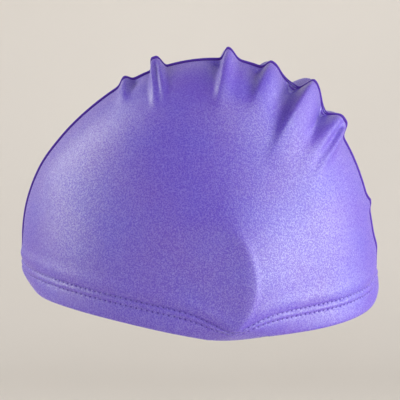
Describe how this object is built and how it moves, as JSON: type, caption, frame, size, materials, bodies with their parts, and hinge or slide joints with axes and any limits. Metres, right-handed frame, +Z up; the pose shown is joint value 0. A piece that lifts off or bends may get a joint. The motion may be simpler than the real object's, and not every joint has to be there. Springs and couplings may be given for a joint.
{
  "type": "swim cap",
  "caption": "Pull-on swim cap of thin stretch cloth, shown as worn: two side panels sewn along a puckered crown seam, with a doubled, double-stitched hem.",
  "frame": {"origin": "where the top of the head bears on the inside of the crown, on the seam, midway from the forehead to the nape", "axes": "+X to the wearer's left, +Y from the forehead to the nape, +Z up along the head"},
  "size_m": [0.1648, 0.1917, 0.1384],
  "materials": {
    "panel_cloth": "thin warp-knit stretch cloth in violet, satin with a fine sparkling grain",
    "hem_cloth": "the same violet stretch cloth, doubled, with two rows of thread of its own colour"
  },
  "bodies": {
    "root": {"left_panel": "panel_cloth", "right_panel": "panel_cloth", "hem_band": "hem_cloth"}
  },
  "joints": []
}
